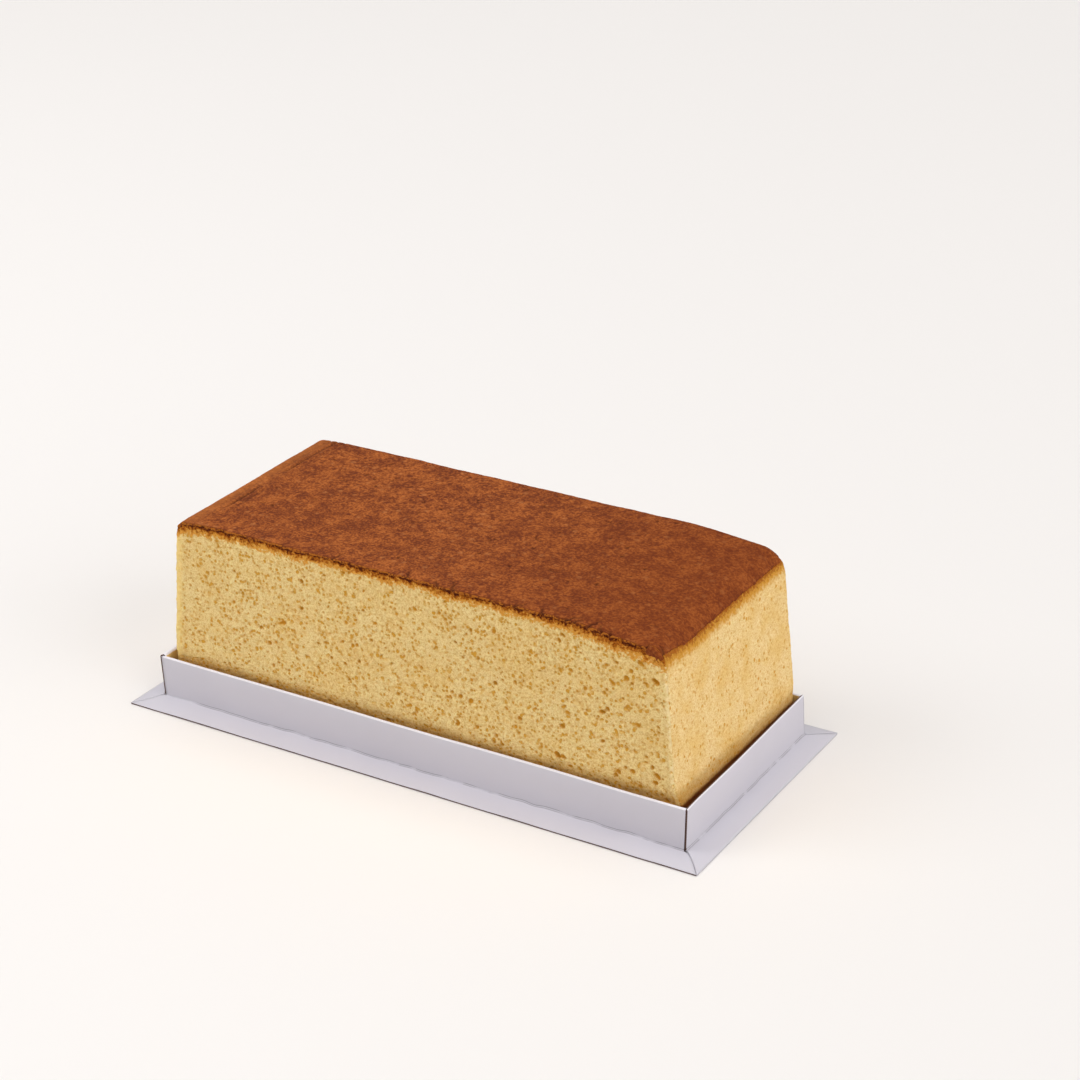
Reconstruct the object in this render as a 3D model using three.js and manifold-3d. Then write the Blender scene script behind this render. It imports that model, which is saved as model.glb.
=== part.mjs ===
// A castella sponge cake standing in the folded card tray that it is sold in.
// Millimetres, +Z up, +X along the cake, origin on the table under the middle of the tray.
import * as THREE from "three";
import Module from "manifold-3d";
import { mergeVertices } from "three/addons/utils/BufferGeometryUtils.js";

// Driving dimensions of the tray.
const CARD = 0.5;
const WALL_LENGTH = 237.0;
const WALL_WIDTH = 99.6;
const WALL_TOP = 19.3;
const CREASE_HEIGHT = 1.7;
const BRIM_WIDTH_END = 9.5;
const BRIM_WIDTH_SIDE = 10.2;
const FOLD_END = 2.2;
const FOLD_SIDE = 1.4;
const CORNER_SLIT = 0.5;

// Driving dimensions of the cake. Its length is that of its top: the ends spread downwards.
const CAKE_LENGTH = 216.0;
const CAKE_WIDTH = 97.2;
const CAKE_TOP = 82.4;
const BACK_RISE = 0.9;
const END_FLARE = 5.4;
const BACK_RIGHT_FLARE = 1.8;
const TRAY_PINCH = 1.0;
const PINCH_HEIGHT = 8.0;
const TOUCH_GAP = 0.3;
const CAKE_BOTTOM = CARD + TOUCH_GAP;

// How the browned top falls away towards each side: a gentle slope, then a round shoulder.
const FALLS = {
  left: [{ depth: 1.2, width: 20.0, power: 1.5 }, { depth: 3.6, width: 4.0, power: 2.2 }],
  right: [{ depth: 3.0, width: 38.0, power: 1.3 }, { depth: 3.8, width: 7.0, power: 2.0 }],
  front: [{ depth: 0.3, width: 3.0, power: 2.0 }],
  back: [{ depth: 2.0, width: 3.5, power: 2.0 }],
};
const FULL_CORNER = { rise: 2.2, length: 8.0, width: 20.0 };
const CORNER_RADIUS = { backLeft: 4.0, backRight: 3.6, frontLeft: 1.6, frontRight: 1.2 };
const SHOULDER = {
  left: { inset: 0.5, height: 4.0 },
  right: { inset: 1.4, height: 6.0 },
  back: { inset: 0.8, height: 4.0 },
};

// Grid of the cake's faces, closer together towards the edges.
const GRID = { length: 46, width: 22, height: 14 };
const EDGE_CROWDING = 1.5;

const cakeMaterial = new THREE.MeshStandardMaterial({ color: 0xd3ad69, roughness: 0.9, metalness: 0 });
const cardMaterial = new THREE.MeshStandardMaterial({ color: 0xd8d4da, roughness: 0.45, metalness: 0 });

// How far the top has fallen at a distance from one side's edge.
function fallAt(distance, falls) {
  let total = 0;
  for (const { depth, width, power } of falls) {
    total += depth * Math.max(0, 1 - distance / width) ** power;
  }
  return total;
}

// How much higher the front right corner stays than the rest of that end.
function frontRightFullness(fromRight, fromFront) {
  const nearFront = 1 - THREE.MathUtils.smoothstep(fromFront, 0, FULL_CORNER.width);
  return FULL_CORNER.rise * nearFront * Math.max(0, 1 - fromRight / FULL_CORNER.length) ** 2;
}

// Height of the cake's top above the table, over a point of its plan.
function topHeight(x, y) {
  const fromFront = y + CAKE_WIDTH / 2;
  return CAKE_TOP
    + frontRightFullness(CAKE_LENGTH / 2 - x, fromFront)
    + BACK_RISE * fromFront / CAKE_WIDTH
    - fallAt(x + CAKE_LENGTH / 2, FALLS.left)
    - fallAt(CAKE_LENGTH / 2 - x, FALLS.right)
    - fallAt(fromFront, FALLS.front)
    - fallAt(CAKE_WIDTH / 2 - y, FALLS.back);
}

// How far a side is drawn in at its round shoulder, at a depth below the top.
function shoulderAt(depth, shoulder) {
  if (!shoulder) return 0;
  return shoulder.inset * Math.max(0, 1 - depth / shoulder.height) ** 2;
}

// Rounds the plan's corners: each square of side `radius` at a corner becomes a quarter disc.
function roundPlan(x, y, halfLength, halfWidth) {
  const side = x < 0 ? "Left" : "Right";
  const radius = CORNER_RADIUS[(y < 0 ? "front" : "back") + side];
  const dx = Math.abs(x) - (halfLength - radius);
  const dy = Math.abs(y) - (halfWidth - radius);
  if (dx <= 0 || dy <= 0) return [x, y];
  const shrink = Math.max(dx, dy) / Math.hypot(dx, dy);
  return [
    Math.sign(x) * (halfLength - radius + dx * shrink),
    Math.sign(y) * (halfWidth - radius + dy * shrink),
  ];
}

// Moves grid lines from even steps towards the edges, where the shape turns.
function crowd(t) {
  return Math.sign(t) * (1 - (1 - Math.abs(t)) ** EDGE_CROWDING);
}

function buildCake() {
  const box = new THREE.BoxGeometry(2, 2, 1, GRID.length, GRID.width, GRID.height);
  box.deleteAttribute("normal");
  box.deleteAttribute("uv");
  const geometry = mergeVertices(box);
  const position = geometry.getAttribute("position");
  for (let i = 0; i < position.count; i += 1) {
    const flatX = crowd(position.getX(i)) * CAKE_LENGTH / 2;
    const flatY = crowd(position.getY(i)) * CAKE_WIDTH / 2;
    const [x, y] = roundPlan(flatX, flatY, CAKE_LENGTH / 2, CAKE_WIDTH / 2);
    const rise = position.getZ(i) + 0.5;
    const top = topHeight(x, y);
    const z = CAKE_BOTTOM + rise * (top - CAKE_BOTTOM);

    // The ends spread downwards, the tray pinches the long sides, and the shoulders are round.
    const toBackRight = x > 0 ? 0.5 + y / CAKE_WIDTH : 0;
    const spread = THREE.MathUtils.clamp((CAKE_TOP - z) / (CAKE_TOP - WALL_TOP), 0, 1);
    const flare = (END_FLARE + BACK_RIGHT_FLARE * toBackRight) * spread;
    const pinch = TRAY_PINCH * (1 - THREE.MathUtils.smoothstep(z, WALL_TOP, WALL_TOP + PINCH_HEIGHT));
    const insetX = shoulderAt(top - z, x < 0 ? SHOULDER.left : SHOULDER.right);
    const insetY = shoulderAt(top - z, y < 0 ? null : SHOULDER.back);
    const stretchX = 1 + (flare - insetX) / (CAKE_LENGTH / 2);
    const stretchY = 1 - (pinch + insetY) / (CAKE_WIDTH / 2);
    position.setXYZ(i, x * stretchX, y * stretchY, z);
  }
  return geometry;
}

// Sweeps a profile of [inset along X, inset along Y, height] round the wall's rectangle.
// The profile starts and ends inside the floor, whose two faces close the shape.
function sweepRound(profile) {
  const corners = [[-1, -1], [1, -1], [1, 1], [-1, 1]];
  const vertices = [];
  for (const [insetX, insetY, z] of profile) {
    for (const [signX, signY] of corners) {
      vertices.push(signX * (WALL_LENGTH / 2 - insetX), signY * (WALL_WIDTH / 2 - insetY), z);
    }
  }
  const faces = [0, 1, 2, 0, 2, 3];
  for (let ring = 0; ring < profile.length - 1; ring += 1) {
    for (let corner = 0; corner < 4; corner += 1) {
      const inner = ring * 4 + corner;
      const innerNext = ring * 4 + ((corner + 1) % 4);
      faces.push(inner, inner + 4, innerNext + 4, inner, innerNext + 4, innerNext);
    }
  }
  const last = (profile.length - 1) * 4;
  faces.push(last, last + 2, last + 1, last, last + 3, last + 2);
  const geometry = new THREE.BufferGeometry();
  geometry.setAttribute("position", new THREE.Float32BufferAttribute(vertices, 3));
  geometry.setIndex(faces);
  return geometry;
}

// One sheet of card: floor, inner wall, fold over the top, outer wall and sloping brim.
function trayProfile() {
  const innerFace = [FOLD_END, FOLD_SIDE];
  const innerBack = [FOLD_END - CARD, FOLD_SIDE - CARD];
  const brimEdge = [-BRIM_WIDTH_END, -BRIM_WIDTH_SIDE];
  return [
    [...innerFace, CARD],
    [...innerFace, WALL_TOP],
    [0, 0, WALL_TOP],
    [0, 0, CREASE_HEIGHT + CARD],
    [...brimEdge, CARD],
    [...brimEdge, 0],
    [CARD, CARD, CREASE_HEIGHT],
    [CARD, CARD, WALL_TOP - CARD],
    [...innerBack, WALL_TOP - CARD],
    [...innerBack, 0],
  ];
}

function manifoldFrom(wasm, geometry) {
  return new wasm.Manifold(new wasm.Mesh({
    numProp: 3,
    vertProperties: new Float32Array(geometry.getAttribute("position").array),
    triVerts: new Uint32Array(geometry.getIndex().array),
  }));
}

function geometryFrom(solid) {
  const mesh = solid.getMesh();
  const geometry = new THREE.BufferGeometry();
  geometry.setAttribute("position", new THREE.BufferAttribute(mesh.vertProperties, 3));
  geometry.setIndex(new THREE.BufferAttribute(mesh.triVerts, 1));
  return geometry;
}

// A thin upright cutter along the mitre of one corner, clear of the floor.
function slitCutter(signX, signY) {
  const reach = 2 * Math.hypot(BRIM_WIDTH_END, BRIM_WIDTH_SIDE);
  const box = new THREE.BoxGeometry(2 * reach, CORNER_SLIT, 2 * WALL_TOP);
  box.deleteAttribute("normal");
  box.deleteAttribute("uv");
  const cutter = mergeVertices(box);
  cutter.rotateZ(Math.atan2(signY * BRIM_WIDTH_SIDE, signX * BRIM_WIDTH_END));
  const inner = [WALL_LENGTH / 2 - FOLD_END, WALL_WIDTH / 2 - FOLD_SIDE];
  const mitre = Math.atan2(BRIM_WIDTH_SIDE, BRIM_WIDTH_END);
  cutter.translate(
    signX * (inner[0] + Math.cos(mitre) * (reach - CARD)),
    signY * (inner[1] + Math.sin(mitre) * (reach - CARD)),
    WALL_TOP + CARD,
  );
  return cutter;
}

function buildTray(wasm) {
  let solid = manifoldFrom(wasm, sweepRound(trayProfile()));
  for (const signX of [-1, 1]) {
    for (const signY of [-1, 1]) {
      solid = solid.subtract(manifoldFrom(wasm, slitCutter(signX, signY)));
    }
  }
  return geometryFrom(solid);
}

const wasm = await Module();
wasm.setup();

const cake = new THREE.Mesh(buildCake(), cakeMaterial);
cake.name = "cake";
const tray = new THREE.Mesh(buildTray(wasm), cardMaterial);
tray.name = "tray";

const castella = new THREE.Group();
castella.add(cake, tray);

export default castella;
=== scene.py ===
"""A castella sponge cake standing in its folded card tray.

Shapes are worked out in millimetres and turned into metres when a mesh is made.
+X runs along the cake, +Y from its cut front face to its back, +Z up.
"""
import math

import bpy
import numpy as np
from mathutils import Matrix, Vector


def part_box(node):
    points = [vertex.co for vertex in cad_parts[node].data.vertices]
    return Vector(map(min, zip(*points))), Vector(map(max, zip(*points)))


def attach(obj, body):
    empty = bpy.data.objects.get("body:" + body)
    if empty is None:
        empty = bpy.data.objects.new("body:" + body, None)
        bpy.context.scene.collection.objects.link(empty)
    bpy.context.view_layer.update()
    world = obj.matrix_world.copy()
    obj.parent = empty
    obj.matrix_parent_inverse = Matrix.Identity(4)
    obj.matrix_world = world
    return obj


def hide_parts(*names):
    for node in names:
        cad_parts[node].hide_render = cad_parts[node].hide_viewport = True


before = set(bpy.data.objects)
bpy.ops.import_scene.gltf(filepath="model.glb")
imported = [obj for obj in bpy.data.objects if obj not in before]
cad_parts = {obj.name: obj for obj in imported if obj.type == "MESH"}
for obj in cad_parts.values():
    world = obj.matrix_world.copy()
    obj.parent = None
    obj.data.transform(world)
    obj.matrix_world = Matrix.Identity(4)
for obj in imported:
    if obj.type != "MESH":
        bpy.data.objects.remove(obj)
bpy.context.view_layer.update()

MM = 0.001


def frame_box(node):
    """Lowest and highest corner of a node, in millimetres."""
    return [np.array(corner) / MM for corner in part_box(node)]


CAKE_LOW, CAKE_HIGH = frame_box("cake")
TRAY_LOW, TRAY_HIGH = frame_box("tray")

# The tray's card, from the frame's box and the width of its folds.
CARD = 0.5
BRIM_END = 9.5
BRIM_SIDE = 10.2
FOLD_LEFT = 2.2
FOLD_RIGHT = 1.1
FOLD_SIDE = 1.4
CREASE_HEIGHT = 1.7
FLOOR_GAP = 0.02
WALL_TOP = TRAY_HIGH[2]
WALL_HALF_LENGTH = TRAY_HIGH[0] - BRIM_END
WALL_HALF_WIDTH = TRAY_HIGH[1] - BRIM_SIDE

# The cake's block, from the frame's box. Its ends spread downwards, and the tray pinches its foot.
END_FLARE = 5.4
BACK_RIGHT_FLARE = 1.8
BACK_RISE = 0.9
CAKE_HALF_LENGTH = -CAKE_LOW[0] - END_FLARE
CAKE_HALF_WIDTH = CAKE_HIGH[1]
CAKE_BOTTOM = CAKE_LOW[2]
CAKE_TOP = CAKE_HIGH[2] - BACK_RISE
CAKE_PINCH = 1.5
PINCH_HEIGHT = 8.0
RIGHT_FOOT = 1.3

# How the browned top falls away towards each side, as (depth, width, power) of each slope.
FALLS = {
    "left": ((1.2, 20.0, 1.5), (3.6, 4.0, 2.2)),
    "right": ((3.0, 38.0, 1.3), (3.8, 7.0, 2.0)),
    "front": ((0.3, 3.0, 2.0),),
    "back": ((2.0, 3.5, 2.0),),
}
FULL_CORNER_RISE = 2.2
FULL_CORNER_LENGTH = 8.0
FULL_CORNER_WIDTH = 20.0
CORNER_RADII = {(-1, 1): 4.0, (1, 1): 3.6, (-1, -1): 1.6, (1, -1): 1.2}
SHOULDERS = {"left": (0.5, 4.0), "right": (1.4, 6.0), "front": (0.0, 1.0), "back": (0.8, 4.0)}

# The crust's skin, and how deep its browning reaches into the cut front and the peeled sides, with
# what is added at the ends of the front and at the front right corner.
SKIN = 0.6
SKIN_OVERLAP = 0.1
BAND_FRONT = 3.9
BAND_FRONT_LEFT = 1.0
BAND_FRONT_RIGHT = 2.2
BAND_SIDE = 4.8
BAND_SIDE_CORNER = 1.4

# The broken lump of crust at the front right corner: its middle from that corner, its size, how far
# it stands up, bulges out and hangs down, and the crack round it.
LUMP_FROM_RIGHT = 3.2
LUMP_SIZE = 3.1
LUMP_RISE = 1.4
LUMP_BULGE = 1.1
LUMP_HANG = 4.0
LUMP_CRACK_WIDTH = 0.45

# Unevenness of the surfaces, as (height, size, seed) of each noise.
SWELL = ((0.3, 34.0, 3), (0.12, 11.0, 4))
SIDE_WAVE = ((0.35, 26.0, 24), (0.15, 9.0, 25))
CRUMB_GRAIN = ((0.13, 1.1, 22), (0.10, 2.6, 23))
CRUST_GRAIN = ((0.07, 1.1, 31), (0.07, 3.1, 32), (0.10, 8.0, 33))
RIM_WOBBLE = ((0.3, 2.3, 36), (0.35, 1.0, 37))


# ---------------- noise and small maths

def lattice(cells, seed):
    """A repeatable value from -1 to 1 for each whole-number cell."""
    n = cells[..., 0] * 73856093 ^ cells[..., 1] * 19349663 ^ cells[..., 2] * 83492791 ^ (seed * 40503 + 1)
    n = (n ^ (n >> 13)) * 1274126177
    n = (n ^ (n >> 16)) & 0xFFFF
    return n / 32767.5 - 1.0


def noise(points, size, seed):
    """Smooth noise from -1 to 1 whose lumps are about size across."""
    scaled = np.asarray(points, float) / size + 1000.0
    cell = np.floor(scaled).astype(np.int64)
    t = scaled - cell
    t = t * t * (3.0 - 2.0 * t)
    total = np.zeros(scaled.shape[:-1])
    for dx in (0, 1):
        wx = t[..., 0] if dx else 1.0 - t[..., 0]
        for dy in (0, 1):
            wy = t[..., 1] if dy else 1.0 - t[..., 1]
            for dz in (0, 1):
                wz = t[..., 2] if dz else 1.0 - t[..., 2]
                total += wx * wy * wz * lattice(cell + np.array([dx, dy, dz]), seed)
    return total


def layered(points, layers):
    """Sum of noises, each given as (height, size, seed)."""
    return sum(height * noise(points, size, seed) for height, size, seed in layers)


def smoothstep(low, high, value):
    """0 at low, 1 at high, and a soft slope between them."""
    t = np.clip((np.asarray(value, float) - low) / (high - low), 0.0, 1.0)
    return t * t * (3.0 - 2.0 * t)


def stack3(x, y, z):
    return np.stack(np.broadcast_arrays(x, y, z), axis=-1).astype(float)


# ---------------- the cake's form

def fall(distance, side):
    """How far the crust has fallen at a distance from one side."""
    total = 0.0
    for depth, width, power in FALLS[side]:
        total = total + depth * np.clip(1.0 - distance / width, 0.0, 1.0) ** power
    return total


def front_right_fullness(x, y):
    """How much higher the crust stays at the front right corner than along the rest of that end."""
    near_front = 1.0 - smoothstep(0.0, FULL_CORNER_WIDTH, y + CAKE_HALF_WIDTH)
    near_end = np.clip(1.0 - (CAKE_HALF_LENGTH - x) / FULL_CORNER_LENGTH, 0.0, 1.0) ** 2
    return FULL_CORNER_RISE * near_front * near_end


def top_height(x, y):
    """Height of the crust above the table over a point of the plan."""
    from_front = y + CAKE_HALF_WIDTH
    place = stack3(x, y, 0.0 * x)
    return (
        CAKE_TOP + BACK_RISE * from_front / (2 * CAKE_HALF_WIDTH) + layered(place, SWELL)
        - fall(x + CAKE_HALF_LENGTH, "left") - fall(CAKE_HALF_LENGTH - x, "right")
        + front_right_fullness(x, y)
        - fall(from_front, "front") - fall(CAKE_HALF_WIDTH - y, "back")
    )


def side_wave(points):
    """How far the sides stand out or in, in slow waves."""
    return layered(points, SIDE_WAVE)


def side_band(x, y):
    """Thickness of the soft browning down the peeled sides: deepest at the front right corner."""
    near_front = (x > 0) * smoothstep(-CAKE_HALF_WIDTH + 14.0, -CAKE_HALF_WIDTH + 2.0, y)
    return BAND_SIDE + BAND_SIDE_CORNER * near_front


def front_band(x):
    """Thickness of the browned band along the cut front: thicker towards both ends."""
    left = BAND_FRONT_LEFT * smoothstep(-CAKE_HALF_LENGTH + 24.0, -CAKE_HALF_LENGTH + 3.0, x)
    right = BAND_FRONT_RIGHT * smoothstep(CAKE_HALF_LENGTH - 48.0, CAKE_HALF_LENGTH - 10.0, x)
    return BAND_FRONT + left + right + 0.5 * noise(stack3(x, 0.0 * x, 0.0 * x), 6.0, 5)


def round_plan(x, y):
    """Rounds the plan's four corners: each corner square becomes a quarter disc."""
    out_x, out_y = x.copy(), y.copy()
    for (sign_x, sign_y), radius in CORNER_RADII.items():
        dx = sign_x * x - (CAKE_HALF_LENGTH - radius)
        dy = sign_y * y - (CAKE_HALF_WIDTH - radius)
        inside = (dx > 0) & (dy > 0)
        shrink = np.maximum(dx, dy) / np.maximum(np.hypot(dx, dy), 1e-9)
        out_x = np.where(inside, sign_x * (CAKE_HALF_LENGTH - radius + dx * shrink), out_x)
        out_y = np.where(inside, sign_y * (CAKE_HALF_WIDTH - radius + dy * shrink), out_y)
    return out_x, out_y


def plan_normal(x, y):
    """Outward direction of the cake's side at a point of its rounded plan."""
    normal_x = np.zeros_like(x)
    normal_y = np.zeros_like(y)
    for (sign_x, sign_y), radius in CORNER_RADII.items():
        quarter = (sign_x * x >= 0) & (sign_y * y >= 0)
        dx = np.maximum(sign_x * x - (CAKE_HALF_LENGTH - radius), 0.0)
        dy = np.maximum(sign_y * y - (CAKE_HALF_WIDTH - radius), 0.0)
        normal_x = np.where(quarter, sign_x * dx, normal_x)
        normal_y = np.where(quarter, sign_y * dy, normal_y)
    length = np.maximum(np.hypot(normal_x, normal_y), 1e-9)
    return normal_x / length, normal_y / length


def spread(x, y, z, top):
    """Moves a point of the straight block to the true form: flared ends, shoulders, pinched foot."""
    to_back_right = np.where(x > 0, 0.5 + 0.5 * y / CAKE_HALF_WIDTH, 0.0)
    flare = END_FLARE + BACK_RIGHT_FLARE * to_back_right
    flare = flare * np.clip((CAKE_TOP - z) / (CAKE_TOP - WALL_TOP), 0.0, 1.0)
    foot = RIGHT_FOOT * np.where(x > 0, 1.0 - to_back_right, 0.0)
    flare = flare + foot * (1.0 - smoothstep(WALL_TOP - 2.0, WALL_TOP + 3.0, z))
    pinch = CAKE_PINCH * (1.0 - smoothstep(WALL_TOP - 1.0, WALL_TOP + PINCH_HEIGHT, z))
    inset = {}
    for side, (depth, height) in SHOULDERS.items():
        inset[side] = depth * np.clip(1.0 - (top - z) / height, 0.0, 1.0) ** 2
    inset_x = np.where(x < 0, inset["left"], inset["right"])
    inset_y = np.where(y < 0, inset["front"], inset["back"])
    return (
        x + x / CAKE_HALF_LENGTH * (flare - inset_x),
        y - y / CAKE_HALF_WIDTH * (pinch + inset_y),
    )


# ---------------- meshes

def make_object(name, vertices, faces, materials, smooth, attributes, face_material=None):
    """A mesh object from millimetre vertices. An attribute has one number for each vertex."""
    mesh = bpy.data.meshes.new(name)
    faces = [np.asarray(group, dtype=np.int32) for group in faces]
    loops = np.concatenate([group.ravel() for group in faces])
    sizes = np.concatenate([np.full(len(group), group.shape[1], np.int32) for group in faces])
    starts = np.concatenate([[0], np.cumsum(sizes)[:-1]]).astype(np.int32)
    mesh.vertices.add(len(vertices))
    mesh.vertices.foreach_set("co", (np.asarray(vertices) * MM).astype(np.float32).ravel())
    mesh.loops.add(len(loops))
    mesh.loops.foreach_set("vertex_index", loops)
    mesh.polygons.add(len(sizes))
    mesh.polygons.foreach_set("loop_start", starts)
    for material in materials:
        mesh.materials.append(material)
    if face_material is not None:
        mesh.polygons.foreach_set("material_index", np.asarray(face_material, np.int32))
    mesh.update(calc_edges=True)
    mesh.polygons.foreach_set("use_smooth", np.asarray(smooth, bool))
    for label, values in attributes.items():
        layer = mesh.attributes.new(label, "FLOAT", "POINT")
        layer.data.foreach_set("value", np.asarray(values, np.float32).ravel())
    mesh.validate()
    piece = bpy.data.objects.new(name, mesh)
    bpy.context.scene.collection.objects.link(piece)
    return piece


def grid_faces(columns, rows):
    """Quads of a grid whose vertices run row by row, columns to a row."""
    column, row = np.meshgrid(np.arange(columns - 1), np.arange(rows - 1))
    corner = (row * columns + column).ravel()
    return np.stack([corner, corner + 1, corner + columns + 1, corner + columns], axis=1)


def fan(edge, apex):
    """Triangles from each step of a row of vertices to one vertex."""
    return np.stack([edge[:-1], edge[1:], np.full(len(edge) - 1, apex)], axis=1)


# ---------------- crumb relief

# The pores of a face, one row for each size: square millimetres to a pore, range of its radius, depth
# for each millimetre of radius, and how much the radius grows from left to right.
CUT_PORES = (
    (420, (0.9, 1.35), 0.8, 0.5),
    (60, (0.6, 1.05), 0.75, 0.4),
    (18, (0.4, 0.7), 0.6, 0.0),
    (2.6, (0.25, 0.42), 0.35, 0.0),
)
PEELED_PORES = (
    (34, (0.45, 0.8), 0.4, 0.0),
    (2.6, (0.25, 0.42), 0.4, 0.0),
)
PORE_CLEAR = 1.2
PORE_STRETCH = (0.8, 1.25)
PORE_DEPTHS = (0.6, 1.2)
PORE_REACH = 1.4
FULL_PORE = 0.42


def splat_pits(length, height, spacing, rng, per_pit, radii, depth, lean):
    """Depth of scattered round and oval pores of one size on a grid of the face, in millimetres."""
    columns = int(round(length / spacing)) + 1
    rows = int(round(height / spacing)) + 1
    field = np.zeros((rows, columns))
    count = int(length * height / per_pit)
    low, high = radii
    centre_u = rng.uniform(PORE_CLEAR, length - PORE_CLEAR, count)
    centre_v = rng.uniform(0, height, count)
    radius = low + (high - low) * rng.random(count) ** 2.0
    radius *= 1.0 + lean * (centre_u / length - 0.5)
    stretch = rng.uniform(*PORE_STRETCH, count)
    angle = rng.uniform(0, math.pi, count)
    deep = depth * rng.uniform(*PORE_DEPTHS, count)
    for i in range(count):
        reach = radius[i] * PORE_REACH
        c0 = max(int((centre_u[i] - reach) / spacing), 0)
        c1 = min(int((centre_u[i] + reach) / spacing) + 2, columns)
        r0 = max(int((centre_v[i] - reach) / spacing), 0)
        r1 = min(int((centre_v[i] + reach) / spacing) + 2, rows)
        du = np.arange(c0, c1) * spacing - centre_u[i]
        dv = (np.arange(r0, r1) * spacing - centre_v[i])[:, None]
        cos_a, sin_a = math.cos(angle[i]), math.sin(angle[i])
        along = (du * cos_a + dv * sin_a) / stretch[i]
        across = (dv * cos_a - du * sin_a) * stretch[i]
        q = np.sqrt(along ** 2 + across ** 2) / radius[i]
        bowl = deep[i] * radius[i] * np.clip(1.0 - q ** 3, 0.0, 1.0)
        field[r0:r1, c0:c1] = np.maximum(field[r0:r1, c0:c1], bowl)
    return field


# Each side of the crumb: its plan from one end to the other, the spacing of its grid and its seed.
SIDES = {
    "front": {"corner": lambda s: (s, -1.0 + 0 * s), "spacing": 0.43, "seed": 11},
    "right": {"corner": lambda s: (1.0 + 0 * s, s), "spacing": 0.43, "seed": 12},
    "back": {"corner": lambda s: (-s, 1.0 + 0 * s), "spacing": 0.55, "seed": 13},
    "left": {"corner": lambda s: (-1.0 + 0 * s, -s), "spacing": 0.55, "seed": 14},
}


# How far from a face's ends its pores fade, the soft ridge that runs down near the right end of the
# cut face, and how far the hidden inner edge of the blocks stays below the crust.
END_FADE = 1.3
RIDGE_PLACE = 1.3
RIDGE_HEIGHT = 0.4
RIDGE_WIDTH = 0.8
SPINE_DROP = 7.0


def side_relief(cut, length, height, spacing, rng):
    """Pore depth in millimetres for one side of the crumb."""
    sizes = CUT_PORES if cut else PEELED_PORES
    return np.maximum.reduce([splat_pits(length, height, spacing, rng, *size) for size in sizes])


def side_block(side, material):
    """One mitred quarter of the crumb: its relief face, closed by flat hidden faces behind."""
    spec = SIDES[side]
    long_side = side in ("front", "back")
    length = 2 * (CAKE_HALF_LENGTH if long_side else CAKE_HALF_WIDTH)
    height = CAKE_TOP - CAKE_BOTTOM
    columns = int(round(length / spec["spacing"])) + 1
    rows = int(round(height / spec["spacing"])) + 1
    s = np.linspace(-1, 1, columns)
    flat_x, flat_y = spec["corner"](s)
    x, y = round_plan(flat_x * CAKE_HALF_LENGTH, flat_y * CAKE_HALF_WIDTH)
    normal_x, normal_y = plan_normal(x, y)
    top = top_height(x, y)
    rise = np.linspace(0, 1, rows)[:, None]
    z = CAKE_BOTTOM + rise * (top - SKIN - CAKE_BOTTOM)
    px, py = spread(x, y, z, top)
    points = stack3(px, py, z)

    cut = side == "front"
    rng = np.random.default_rng(spec["seed"])
    pores = side_relief(cut, length, height, spec["spacing"], rng)
    ends = smoothstep(0.0, END_FADE, (1 - np.abs(s)) * length / 2)
    band = (top - z) / (front_band(x) if cut else side_band(x, y))
    pores = pores * ends * smoothstep(0.4, 1.1, band)
    ragged = 0.3 * noise(points, 1.7, 21) * (1 - smoothstep(0.8, 1.6, band))
    grain = layered(points, CRUMB_GRAIN)
    corner_crumbs = 0.35 * noise(points, 1.7, 27) * (1 - ends)
    push = side_wave(points) + grain + corner_crumbs - pores
    if cut:
        from_right = (1 - s) * length / 2
        ridge_line = RIDGE_PLACE + 0.5 * noise(stack3(0 * z, 0 * z, z), 9.0, 26)
        ridge = RIDGE_HEIGHT * np.exp(-(((from_right - ridge_line) / RIDGE_WIDTH) ** 2))
        push = push + ends * (0.5 * grain + ragged + ridge * smoothstep(1.0, 2.0, band))
    points[..., 0] += normal_x * push
    points[..., 1] += normal_y * push

    # Hidden inner edge of the block, shared with its neighbours.
    spine = CAKE_HALF_LENGTH - CAKE_HALF_WIDTH
    spines = {"front": (-spine, spine), "right": (spine,), "back": (spine, -spine), "left": (-spine,)}
    spine_x = spines[side]
    heights = (CAKE_BOTTOM, CAKE_TOP - SPINE_DROP)
    inner = [(x_end, 0.0, z_end) for z_end in heights for x_end in spine_x]
    vertices = np.concatenate([points.reshape(-1, 3), np.array(inner)])
    first = columns * rows
    wide = len(spine_x)
    low_start, low_end = first, first + wide - 1
    high_start, high_end = first + wide, first + 2 * wide - 1
    half = columns // 2
    bottom_row = np.arange(columns)
    top_row = bottom_row + columns * (rows - 1)
    start_column = np.arange(rows) * columns
    end_column = start_column + columns - 1
    hidden = [
        fan(bottom_row[: half + 1][::-1], low_start),
        fan(bottom_row[half:][::-1], low_end),
        fan(top_row[: half + 1], high_start),
        fan(top_row[half:], high_end),
        fan(start_column, low_start)[:, [1, 0, 2]],
        fan(end_column, low_end),
        np.array([
            [start_column[-1], high_start, low_start],
            [end_column[-1], low_end, high_end],
        ]),
    ]
    if wide == 2:
        hidden.append(np.array([
            [bottom_row[half], low_start, low_end],
            [top_row[half], high_end, high_start],
            [low_start, high_start, high_end],
            [low_start, high_end, low_end],
        ]))
    relief = grid_faces(columns, rows)
    hidden = np.concatenate(hidden)
    smooth = np.concatenate([np.ones(len(relief), bool), np.zeros(len(hidden), bool)])

    def with_inner(values):
        return np.concatenate([np.broadcast_to(values, (rows, columns)).ravel(), np.zeros(2 * wide)])

    attributes = {
        "pore": with_inner(np.clip(pores / FULL_PORE, 0, 1)),
        "band": with_inner(band),
        "from_start": with_inner((s + 1) * length / 2),
        "from_end": with_inner((1 - s) * length / 2),
    }
    return make_object("crumb_" + side, vertices, [relief, hidden], [material], smooth, attributes)


# ---------------- crust

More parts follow.
